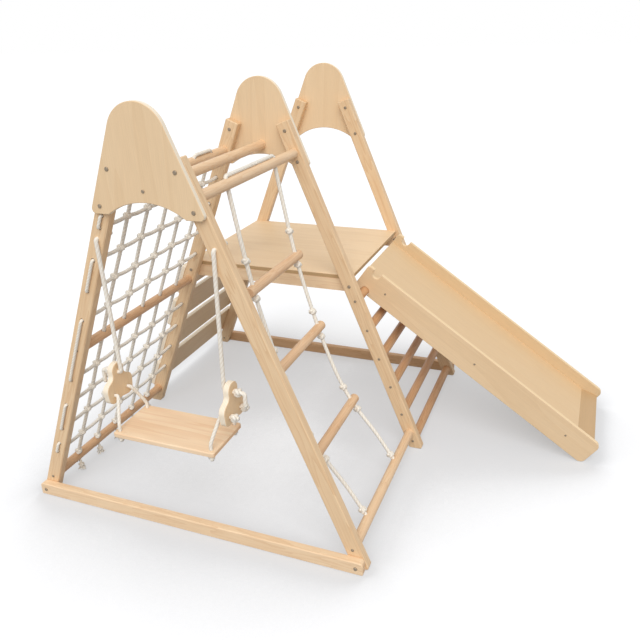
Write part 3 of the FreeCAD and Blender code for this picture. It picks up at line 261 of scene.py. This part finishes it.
# The slide's bed and far side are coloured darker than the other sheets: painted shade. The run-out is darker
# than the bed.
BED_SHADED_PALE = "#E2C399"
FAR_SIDE_SHADED_PALE = "#DEC39B"
RUNOUT_PALE = "#C5A378"
SLOPE = math.radians(34.74)
down_slope = (math.cos(SLOPE), 0.0, -math.sin(SLOPE))
off_slope = (math.sin(SLOPE), 0.0, math.cos(SLOPE))
board_out = (-math.cos(LEG_LEAN), 0.0, math.sin(LEG_LEAN))
sheets = (("crowns", (0, 0, 1), (0, 1, 0), PLY_PALE, PALE_EDGES_WITH_HIGHLIGHT,
           ("front_crown", "middle_crown", "rear_crown")),
          ("deck", (1, 0, 0), (0, 0, 1), PLY_PALE, BROWN_EDGES, ("deck_panel",)),
          ("boards", (0, 1, 0), board_out, PLY_PALE, PALE_EDGES_WITH_HIGHLIGHT,
           ["climbing_board_%d" % i for i in range(1, 5)]),
          ("slide near side", down_slope, (0, 1, 0), PLY_PALE, WARM_EDGES, ("slide_near_panel",)),
          ("slide far side in painted shade", down_slope, (0, 1, 0), FAR_SIDE_SHADED_PALE, WARM_EDGES, ("slide_far_panel",)),
          ("slide bed in painted shade", down_slope, off_slope, BED_SHADED_PALE, WARM_EDGES, ("slide_bed",)),
          ("slide run-out", (0, 1, 0), off_slope, RUNOUT_PALE, WARM_EDGES, ("slide_runout",)),
          ("swing plates", (0, 0, 1), (1, 0, 0), PLY_PALE, PALE_EDGES_WITH_HIGHLIGHT,
           ("swing_left_plate", "swing_right_plate")))
for label, along, thick, pale, edges, members in sheets:
    ply = wood("birch plywood, " + label, along, thick, pale, PLY_DARK,
               lines=4.0, figure=0.25, width_mm=75.0, patches=0.15, edges=edges)
    dress(ply, "birch_plywood", *members)


# Round bars and rungs of steamed beech, with short fine grain along them.
turned = (("upper bars", "#F2D2AC", "#DBAC7E", ("left_monkey_bar", "middle_monkey_bar", "right_monkey_bar",
                                                "rope_ladder_bottom_bar")),
          ("net bars", "#DFB68D", "#C0895A", ("net_middle_bar", "net_bottom_bar")),
          ("rope ladder rungs", "#EBC7A0", "#CE9A6B", ["rope_ladder_rung_%d" % i for i in range(1, 4)]),
          # The ladder's rungs and the slide's hook bar are a darker copy of the beech: painted shade.
          ("ladder rungs", "#DBAC7E", "#BC8252",
           ["slide_hook_bar"] + ["ladder_rung_%d" % i for i in range(1, 6)]))
for label, pale, dark, members in turned:
    beech = wood("turned beech, " + label, (0, 1, 0), (1, 0, 0), pale, dark,
                 lines=6.0, figure=0.45, width_mm=16.0)
    dress(beech, "beech_bar", *members)


# Fasteners: bronzed steel heads.
steel, tree, shader = new_material("bronzed steel")
speck = add(tree, "ShaderNodeTexNoise", (("Scale", 900.0), ("Detail", 2.0)))
tint = mixed(tree, speck.outputs["Fac"], linear("#857664"), linear("#A39480"))
tree.links.new(tint, shader.inputs["Base Color"])
shader.inputs["Metallic"].default_value = 0.35
shader.inputs["Roughness"].default_value = 0.45
dress(steel, "dark_steel", "crown_bolts", "rail_bolts", "beam_bolts", "bar_screws", "rung_screws",
      "board_screws", "slide_screws")


# Cotton rope: three twisted strands as real geometry, cream with fine fibres, and painted shade in the
# grooves between strands.
cotton, tree, shader = new_material("cream cotton rope")
place = add(tree, "ShaderNodeTexCoord")
fuzz = add(tree, "ShaderNodeTexNoise", (("Vector", place.outputs["Object"]), ("Scale", 1400.0),
                                        ("Detail", 3.0))).outputs["Fac"]
groove_shade = add(tree, "ShaderNodeAttribute", attribute_name="groove_shade", attribute_type="GEOMETRY")
yarn = mixed(tree, fuzz, linear("#FFFAF1"), linear("#F8F0E2"))
# The yarn colour darkens towards the grooves between strands: painted shade.
tree.links.new(mixed(tree, groove_shade.outputs["Fac"], yarn, linear("#EDE3D2")), shader.inputs["Base Color"])
shader.inputs["Roughness"].default_value = 0.95
shader.inputs["Sheen Weight"].default_value = 0.25
fuzz_bump = add(tree, "ShaderNodeBump", (("Height", fuzz), ("Strength", 0.35), ("Distance", 0.0006)))
tree.links.new(fuzz_bump.outputs[0], shader.inputs["Normal"])
RING_POINTS = 12
STRAND_ANGLES = np.arange(RING_POINTS) * 2 * math.pi / RING_POINTS
STRAND_OFF_SHARE = 0.14     # strand centre from the rope's middle, of the rope's radius
STRAND_R_SHARE = 0.86
TWIST_PITCH_SHARE = 3.4     # one full turn of a strand, in rope diameters


def lobe_shares():
    """Outline of three strands side by side, as shares of the rope's radius, and how deep each point lies."""
    near = np.abs((STRAND_ANGLES + math.pi / 3) % (2 * math.pi / 3) - math.pi / 3)
    aside = STRAND_OFF_SHARE * np.sin(near)
    shares = STRAND_OFF_SHARE * np.cos(near) + np.sqrt(STRAND_R_SHARE ** 2 - aside ** 2)
    return shares, (1.0 - shares) / (1.0 - shares.min())


def smooth_route(points, closed=False):
    """Points along the smooth NURBS line that a list of control points gives."""
    curve = bpy.data.curves.new("route", "CURVE")
    curve.dimensions = "3D"
    spline = curve.splines.new("NURBS")
    spline.points.add(len(points) - 1)
    for i in range(len(points)):
        spline.points[i].co = (*points[i], 1.0)
    spline.order_u = 3
    spline.use_endpoint_u = not closed
    spline.use_cyclic_u = closed
    spline.resolution_u = 12
    holder = bpy.data.objects.new("route", curve)
    line = bpy.data.meshes.new_from_object(holder)
    found = np.array([v.co for v in line.vertices])
    bpy.data.objects.remove(holder)
    bpy.data.curves.remove(curve)
    bpy.data.meshes.remove(line)
    return found


class Weave:
    """Gathers ropes into one mesh."""

    def __init__(self):
        self.points = []
        self.faces = []
        self.depth = []
        self.count = 0

    def rope(self, line, diameter, closed=False):
        """Three-strand rope along a line of points; a closed one joins up with its start."""
        line = np.asarray(line, float)
        if closed:
            line = np.vstack([line, line[:1]])
        steps = np.linalg.norm(np.diff(line, axis=0), axis=1)
        travel = np.concatenate([[0.0], np.cumsum(steps)])
        pitch = TWIST_PITCH_SHARE * diameter
        rings = max(6, int(travel[-1] / (pitch / RING_POINTS)))
        if closed:
            pitch = travel[-1] / max(1, round(travel[-1] / pitch))
        at = np.linspace(0.0, travel[-1], rings + 1)
        centre = np.stack([np.interp(at, travel, line[:, k]) for k in range(3)], axis=1)
        ahead = np.gradient(centre, axis=0)
        if closed:
            ahead[0] = ahead[-1] = centre[1] - centre[-2]
        ahead /= np.linalg.norm(ahead, axis=1)[:, None]
        side = np.cross(ahead[0], (0.31, 0.52, 0.79))
        sides = []
        for direction in ahead:
            side = side - direction * side.dot(direction)
            side = side / np.linalg.norm(side)
            sides.append(side)
        sides = np.array(sides)
        tops = np.cross(ahead, sides)
        shares, deep = lobe_shares()
        spin = STRAND_ANGLES[None, :] + (2 * math.pi * at / pitch)[:, None]
        if closed:
            slip = math.atan2(sides[-1].dot(tops[0]), sides[-1].dot(sides[0]))
            spin -= (slip * at / travel[-1])[:, None]
        reach = diameter / 2 * shares[None, :]
        ring = (centre[:, None, :] + (reach * np.cos(spin))[:, :, None] * sides[:, None, :]
                + (reach * np.sin(spin))[:, :, None] * tops[:, None, :])
        if closed:
            ring = ring[:-1]
        index = self.count + np.arange(ring.shape[0] * RING_POINTS).reshape(-1, RING_POINTS)
        loop = np.vstack([index, index[:1]]) if closed else index
        turned = np.roll(loop, -1, axis=1)
        quads = np.stack([loop[:-1], turned[:-1], turned[1:], loop[1:]], axis=2).reshape(-1, 4)
        self.points.append(ring.reshape(-1, 3))
        self.depth.append(np.tile(deep, ring.shape[0]))
        self.faces.extend(quads.tolist())
        if not closed:
            self.faces.extend([index[0][::-1].tolist(), index[-1].tolist()])
        self.count += ring.shape[0] * RING_POINTS

    def knot(self, middle, axis, diameter, radius):
        """Overhand stopper knot: a closed three-lobed turn of rope round an axis."""
        turns = np.linspace(0.0, 2 * math.pi, 40, endpoint=False)
        flat = np.stack([np.sin(turns) + 2 * np.sin(2 * turns), np.cos(turns) - 2 * np.cos(2 * turns),
                         -1.6 * np.sin(3 * turns)], axis=1) / 3
        axis = np.asarray(axis, float) / np.linalg.norm(axis)
        side = np.cross(axis, (0.21, 0.92, 0.33))
        side = side / np.linalg.norm(side)
        top = np.cross(axis, side)
        scale = radius - diameter * 0.4
        points = np.asarray(middle) + scale * (flat[:, :1] * side + flat[:, 1:2] * top + flat[:, 2:] * axis)
        self.rope(points, diameter, closed=True)

    def piece(self, name, *cad_nodes):
        """The gathered ropes as one object that stands for its CAD nodes."""
        mesh = bpy.data.meshes.new(name)
        mesh.from_pydata(np.vstack(self.points).tolist(), [], self.faces)
        mesh.polygons.foreach_set("use_smooth", np.ones(len(mesh.polygons), bool))
        # Each point's depth between the strands, which sets the painted shade in the grooves.
        attribute = mesh.attributes.new("groove_shade", "FLOAT", "POINT")
        attribute.data.foreach_set("value", np.concatenate(self.depth).astype(np.float32))
        mesh.materials.append(cotton)
        made = bpy.data.objects.new(name, mesh)
        scene.collection.objects.link(made)
        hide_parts(*cad_nodes)
        return made


def bar_line(name):
    """Middle of a bar that lies along Y: its centre as an array, and its two ends in Y."""
    low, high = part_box(name)
    return np.array([(low[0] + high[0]) / 2, 0.0, (low[2] + high[2]) / 2]), low[1], high[1]


# Climbing net: cords through holes in the left monkey bar, the middle bar and the bottom bar, rows that sag
# a little between them, and a knot at each crossing. On the monkey bar the cords run along its top in pairs.
CORD_DIA = 0.0118
BAR_R = 0.015
NET_CORDS = 5
CORD_PITCH = 0.100
FIRST_ROW = 0.110
KNOT_CORD_DIA = 0.0112
ROW_PITCH = 0.0995
ROWS = 4
ROW_SAG = 0.005
KNOT_DRIFT = 0.0025
NET_KNOT_R = 0.0128
HOLE_STRAIGHT = 0.030
ROPE_CLEAR = 0.0003
RUN_EASE = CORD_DIA * 1.5
FOOT_KNOT_RISE = BAR_R + NET_KNOT_R * 0.7
top_bar, bay_front, bay_back = bar_line("left_monkey_bar")
middle_bar = bar_line("net_middle_bar")[0]
bottom_bar = bar_line("net_bottom_bar")[0]
net_down = (bottom_bar - top_bar) / np.linalg.norm(bottom_bar - top_bar)
along_y = np.array([0.0, 1.0, 0.0])
row_offsets = sorted(sign * (FIRST_ROW + i * ROW_PITCH) for sign in (-1, 1) for i in range(ROWS))
cord_ys = [(bay_front + bay_back) / 2 + (i - (NET_CORDS - 1) / 2) * CORD_PITCH for i in range(NET_CORDS)]
over_bar = BAR_R + CORD_DIA / 2 + ROPE_CLEAR
net = Weave()


def crossing(k, r):
    """Where a cord meets a row, a little off its even place."""
    down = row_offsets[r] + KNOT_DRIFT * math.sin(2.3 * k + 1.9 * r)
    back = cord_ys[k] + KNOT_DRIFT * math.sin(1.3 * r + 2.9 * k + 0.7)
    return middle_bar + net_down * down + along_y * back


crossings = [[crossing(k, r) for r in range(2 * ROWS)] for k in range(NET_CORDS)]
for k in range(NET_CORDS):
    level = along_y * cord_ys[k]
    upper = [middle_bar + level - net_down * HOLE_STRAIGHT]
    lower = [middle_bar + level + net_down * HOLE_STRAIGHT]
    head = [top_bar + level - net_down * BAR_R, top_bar + level + net_down * HOLE_STRAIGHT]
    foot = [bottom_bar + level - net_down * HOLE_STRAIGHT, bottom_bar + level + net_down * (BAR_R + CORD_DIA)]
    net.rope(smooth_route(head + crossings[k][:ROWS] + upper + lower + crossings[k][ROWS:] + foot), CORD_DIA)
    for middle in crossings[k] + [bottom_bar + level - net_down * FOOT_KNOT_RISE]:
        net.knot(middle, net_down, KNOT_CORD_DIA, NET_KNOT_R)
for r in range(2 * ROWS):
    row = middle_bar + net_down * row_offsets[r]
    stops = [row + along_y * bay_front, *(cord[r] for cord in crossings), row + along_y * bay_back]
    line = [stops[0]]
    for before, after in zip(stops[:-1], stops[1:]):
        line += [(before + after) / 2 - np.array([0.0, 0.0, ROW_SAG]), after]
    net.rope(smooth_route(line), CORD_DIA)
for k in range(2, NET_CORDS, 2):
    first = top_bar + along_y * cord_ys[k - 1]
    last = top_bar + along_y * cord_ys[k]
    over_first = first - net_down * over_bar
    over_last = last - net_down * over_bar
    net.rope(smooth_route([first, over_first, over_first + along_y * RUN_EASE,
                           over_last - along_y * RUN_EASE, over_last, last]), CORD_DIA)
end_knot = top_bar + along_y * cord_ys[0] - net_down * (BAR_R + NET_KNOT_R)
net.knot(end_knot, net_down, KNOT_CORD_DIA, NET_KNOT_R)
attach(net.piece("climbing_net_ropes", "climbing_net"), "frame")


# Lacing: each row goes through the legs and runs along their outer faces to the next row's hole.
LEG_THICK = 0.028
LACE_DIA = 0.0095
LACE_RETURN = 0.036
LACE_HOLE_SHARE = 0.7        # how far through the leg the cord stays straight
leg_out = LEG_THICK + LACE_DIA / 2 + ROPE_CLEAR
rows = row_offsets
front_pairs = [(rows[0] - LACE_RETURN, rows[0]), (rows[1], rows[2]), (rows[3], rows[4]), (rows[5], rows[6]),
               (rows[7] - LACE_RETURN, rows[7])]
back_pairs = [(rows[i], rows[i + 1]) for i in range(0, len(rows), 2)]
for label, pairs, inside, outside in (("front", front_pairs, bay_front, bay_front - leg_out),
                                      ("middle", back_pairs, bay_back, bay_back + leg_out)):
    through = along_y * (inside + (outside - inside) * LACE_HOLE_SHARE)
    lace = Weave()
    for upper, lower in pairs:
        start = middle_bar + net_down * upper
        end = middle_bar + net_down * lower
        turn_in = net_down * CORD_DIA
        lace.rope(smooth_route([start + along_y * inside, start + through, start + along_y * outside,
                                start + turn_in + along_y * outside, end - turn_in + along_y * outside,
                                end + along_y * outside, end + through, end + along_y * inside]), LACE_DIA)
    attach(lace.piece("net_lacing_%s_cord" % label, "net_lacing_" + label), "frame")


# Tassels: each cord hangs a little way under the bottom bar and ends in a knot and a short frayed brush.
TASSEL_DROP = 0.019
TASSEL_INWARD = 0.009
BRUSH_LENGTH = 0.018
BRUSH_SPREAD = 0.015
YARN_DIA = 0.0034
YARNS = 15
YARN_TURN = 2.39996          # turn from one yarn to the next, which spreads them evenly
YARN_ROOT = 0.002
YARN_BEND_SHARES = (0.55, 0.6)
TASSEL_KNOT_SHARE = 0.8
RAGGED_SHARE = 0.14
tassels = Weave()
straight_down = np.array([0.0, 0.0, -1.0])
for k in range(NET_CORDS):
    hole = bottom_bar + along_y * cord_ys[k]
    top = hole + straight_down * BAR_R + np.array([TASSEL_INWARD, 0.0, 0.0])
    end = top + straight_down * TASSEL_DROP
    tassels.rope(smooth_route([hole, top, end]), LACE_DIA)
    tassels.knot(end, straight_down, KNOT_CORD_DIA * TASSEL_KNOT_SHARE, NET_KNOT_R * TASSEL_KNOT_SHARE)
    for i in range(YARNS):
        angle = i * YARN_TURN + k
        spread = BRUSH_SPREAD * math.sqrt((i + 0.5) / YARNS)
        out = np.array([math.cos(angle), math.sin(angle), 0.0])
        drop = BRUSH_LENGTH * (1 - RAGGED_SHARE + RAGGED_SHARE * math.sin(i * 1.7 + k))
        bend = end + out * spread * YARN_BEND_SHARES[0] + straight_down * drop * YARN_BEND_SHARES[1]
        tip = end + out * spread + straight_down * drop
        tassels.rope(smooth_route([end + out * YARN_ROOT, bend, tip]), YARN_DIA)
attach(tassels.piece("net_tassel_yarns", "net_tassels"), "frame")


# Rope ladder: one rope lies along the top of the right monkey bar and goes down through a hole at each end of
# that run, sagging inward, through three rungs with a knot above and below each, and into the bottom bar.
ROPE_DIA = 0.0125
LADDER_ROUTE = [(0.146, 0.905), (0.165, 0.815), (0.191, 0.700), (0.228, 0.580), (0.272, 0.448),
                (0.330, 0.312), (0.392, 0.222), (0.460, 0.146)]
LADDER_TOP = (0.121, 1.0319)
LADDER_IN_HOLE = (0.125, 1.0115)
LADDER_MEET_Y = 0.3335
LADDER_TOP_Y = {"front": 0.188, "rear": 0.479}
LADDER_LEAN = 0.036
LADDER_EASE = 0.020
RUNG_R = 0.015
KNOT_R = 0.0130
UPPER_KNOT_RISES = (0.083, 0.060, 0.060)
foot_bar = bar_line("rope_ladder_bottom_bar")[0]
ladder_drop = LADDER_TOP[1] - foot_bar[2]
for label, top_y in LADDER_TOP_Y.items():
    inward = math.copysign(LADDER_EASE, LADDER_MEET_Y - top_y)
    points = [(LADDER_TOP[0], LADDER_MEET_Y, LADDER_TOP[1]), (LADDER_TOP[0], top_y + inward, LADDER_TOP[1])]
    points += [(x, top_y - LADDER_LEAN * (LADDER_TOP[1] - z) / ladder_drop, z)
               for x, z in [LADDER_TOP, LADDER_IN_HOLE] + LADDER_ROUTE + [(foot_bar[0], foot_bar[2])]]
    route = smooth_route(points)
    ladder = Weave()
    ladder.rope(route, ROPE_DIA)
    knots = Weave()
    under = RUNG_R + KNOT_R
    places = [(bar_line("rope_ladder_rung_%d" % (i + 1))[0], (-UPPER_KNOT_RISES[i], under)) for i in range(3)]
    for bar, ways in places + [(foot_bar, (-under,))]:
        near = np.argmin(np.linalg.norm(route[:, [0, 2]] - bar[[0, 2]], axis=1))
        heading = route[min(near + 1, len(route) - 1)] - route[near - 1]
        heading /= np.linalg.norm(heading)
        at = route[near] + heading * (bar - route[near])[[0, 2]].dot(heading[[0, 2]])
        for way in ways:
            spot = np.argmin(np.linalg.norm(route - (at + heading * way), axis=1))
            knots.knot(route[spot], route[spot] - route[spot - 1], KNOT_CORD_DIA, KNOT_R)
    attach(knots.piece("rope_ladder_%s_knots" % label, "rope_ladder_%s_rope" % label), "frame")
    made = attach(ladder.piece("rope_ladder_%s_cord" % label, "rope_ladder_%s_rope" % label), "frame")


# Swing ropes: from a knot behind each front leg, through the leg and down to a three-lobed plate, through
# the plate to a knot and a short end. They bend below the leg's hole.
HANG = np.array([0.1737, 0.0065, 0.893])
HINGE = np.array([0.1719, 0.0065, 0.820])
PLATE_IN = 0.174
PLATE_OUT = 0.192
PLATE_HOLE_Z = 0.505
LEG_BACK_Y = 0.0405
LEG_END = 0.029              # rope's end past the leg's back
LEG_BEND = 0.014
PLATE_BEND = 0.016
PLATE_GAP = 0.010            # rope's middle from the plate's inner face
TAIL_OUT = 0.033
TAIL_DROP = 0.040
for side, label in ((1, "right"), (-1, "left")):
    flip = np.array([side, 1.0, 1.0])
    corner = np.array([PLATE_IN - PLATE_GAP, HANG[1], PLATE_HOLE_Z])
    tail = np.array([PLATE_OUT + TAIL_OUT, HANG[1], PLATE_HOLE_Z])
    route = [(HANG[0], LEG_BACK_Y + LEG_END, HANG[2]), (HANG[0], HANG[1] + LEG_BEND, HANG[2]), HANG,
             HANG - (0, 0, LEG_BEND), HINGE, corner + (0, 0, PLATE_BEND), corner, corner + (LEG_BEND, 0, 0),
             tail - (PLATE_BEND, 0, 0), tail, tail - (0, 0, PLATE_BEND), tail - (0, 0, TAIL_DROP)]
    hanger = Weave()
    hanger.rope(smooth_route([np.asarray(p) * flip for p in route]), ROPE_DIA)
    leg_knot = np.array([HANG[0], LEG_BACK_Y + KNOT_R, HANG[2]])
    plate_knot = np.array([PLATE_OUT + KNOT_R, HANG[1], PLATE_HOLE_Z])
    hanger.knot(leg_knot * flip, (0, 1, 0), KNOT_CORD_DIA, KNOT_R)
    hanger.knot(plate_knot * flip, (1, 0, 0), KNOT_CORD_DIA, KNOT_R)
    made = hanger.piece("swing_%s_rope" % label, "swing_hangers", "swing_anchors")
    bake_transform(made)


# Seat cords: from knots outside the plates' lower holes down to the corners of the seat, knotted underneath.
SEAT_CORD_DIA = 0.0105
SEAT_TOP = 0.355
SEAT_THICK = 0.016
SEAT_HOLE = (0.146, 0.066)
PLATE_LOW = (0.029, 0.444)
CORD_KNOT_R = 0.0130
UNDER_KNOT_R = 0.0095
UNDER_KNOT_DIA = 0.0080
CORD_END_OUT = 0.026
CORD_TURN = np.array([-0.013, 0.006, -0.010])
SEAT_RISES = (0.020, 0.006)
CORD_END_DROP = 0.018
cords = Weave()
for side in (1, -1):
    for end in (1, -1):
        flip = np.array([side, 1.0, 1.0])
        y = HANG[1] + end * PLATE_LOW[0]
        seat_point = np.array([SEAT_HOLE[0], HANG[1] + end * SEAT_HOLE[1], SEAT_TOP])
        route = [(PLATE_OUT + CORD_END_OUT, y, PLATE_LOW[1]), (PLATE_IN, y, PLATE_LOW[1]),
                 (PLATE_IN - PLATE_GAP, y, PLATE_LOW[1]),
                 CORD_TURN * (1, end, 1) + (PLATE_IN, y, PLATE_LOW[1]), seat_point + (0, 0, SEAT_RISES[0]),
                 seat_point + (0, 0, SEAT_RISES[1]), seat_point - (0, 0, SEAT_THICK + CORD_END_DROP)]
        cords.rope(smooth_route([np.asarray(p) * flip for p in route]), SEAT_CORD_DIA)
        plate_knot = np.array([PLATE_OUT + CORD_KNOT_R, y, PLATE_LOW[1]])
        under_knot = seat_point - (0, 0, SEAT_THICK + UNDER_KNOT_R)
        cords.knot(plate_knot * flip, (1, 0, 0), KNOT_CORD_DIA, CORD_KNOT_R)
        cords.knot(under_knot * flip, (0, 0, 1), UNDER_KNOT_DIA, UNDER_KNOT_R)
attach(cords.piece("swing_seat_ropes", "swing_seat_cords"), "swing")
